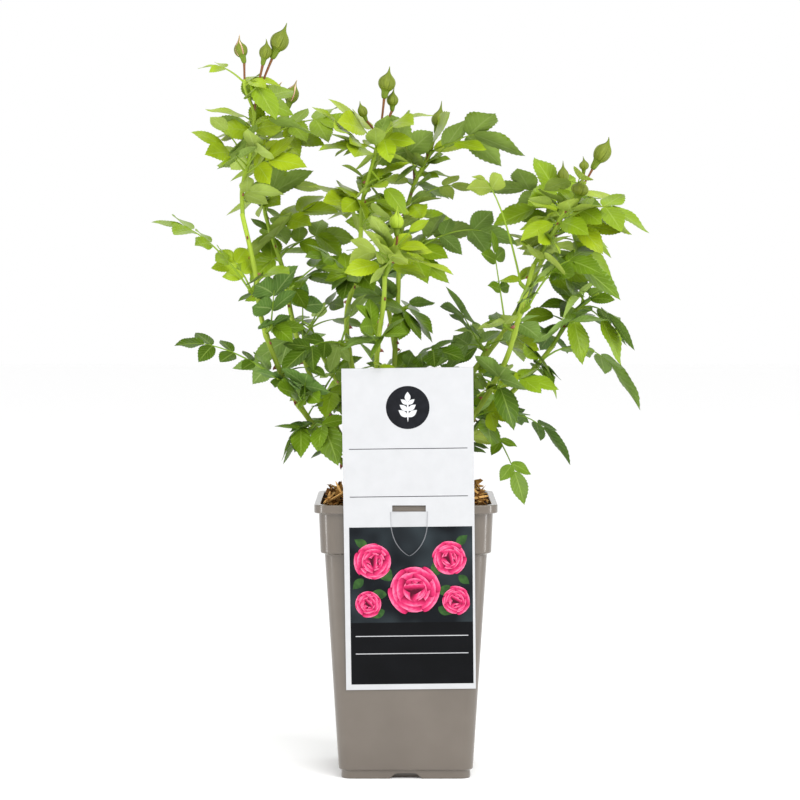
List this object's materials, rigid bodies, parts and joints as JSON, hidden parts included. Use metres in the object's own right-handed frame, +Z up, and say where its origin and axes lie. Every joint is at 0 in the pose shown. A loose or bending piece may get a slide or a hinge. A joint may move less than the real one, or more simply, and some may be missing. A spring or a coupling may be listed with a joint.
{
  "type": "potted rose bush",
  "caption": "Young rose bush with prickly upright canes, compound leaves and closed buds, in a tall square pot topped with bark, with a plain plant card hung on the rim.",
  "frame": {"origin": "centre of the pot's flat underside, on the ground", "axes": "+Z up, -Y towards the plant card, +X to the right as the card is read"},
  "size_m": [0.4242, 0.2826, 0.6551],
  "materials": {
    "pot_plastic": "matte",
    "potting_compost": "crumbly, moist",
    "bark_chips": "rough, dry",
    "coated_card": "smooth, semi-gloss",
    "old_wood": "rough bark",
    "green_cane": "smooth, satin",
    "foliage": "satin leaf"
  },
  "bodies": {
    "root": {"bark_mulch": "bark_chips", "cane_back": "green_cane", "cane_back_left": "green_cane", "cane_back_right": "green_cane", "cane_centre": "green_cane", "cane_centre_left": "green_cane", "cane_front": "green_cane", "cane_left": "green_cane", "cane_left_back": "green_cane", "cane_right_back": "green_cane", "cane_right_front": "green_cane", "cane_right_low": "green_cane", "plant_card": "coated_card", "pot": "pot_plastic", "root_ball": "potting_compost", "shoot_back_left_top": "foliage", "shoot_back_right_top": "foliage", "shoot_back_top": "foliage", "shoot_centre_foot": "foliage", "shoot_centre_left_low": "foliage", "shoot_centre_left_side": "foliage", "shoot_centre_left_top": "foliage", "shoot_centre_low": "foliage", "shoot_centre_side": "foliage", "shoot_centre_top": "foliage", "shoot_front_side": "foliage", "shoot_front_top": "foliage", "shoot_left_back_low": "foliage", "shoot_left_back_mid": "foliage", "shoot_left_back_side": "foliage", "shoot_left_back_top": "foliage", "shoot_left_foot": "foliage", "shoot_left_inner": "foliage", "shoot_left_low": "foliage", "shoot_left_side": "foliage", "shoot_left_top": "foliage", "shoot_left_under": "foliage", "shoot_right_back_mid": "foliage", "shoot_right_back_side": "foliage", "shoot_right_back_top": "foliage", "shoot_right_foot": "foliage", "shoot_right_front_inner": "foliage", "shoot_right_front_low": "foliage", "shoot_right_front_out": "foliage", "shoot_right_front_side": "foliage", "shoot_right_front_top": "foliage", "shoot_right_low_side": "foliage", "shoot_right_low_top": "foliage", "stem": "old_wood"}
  },
  "joints": []
}
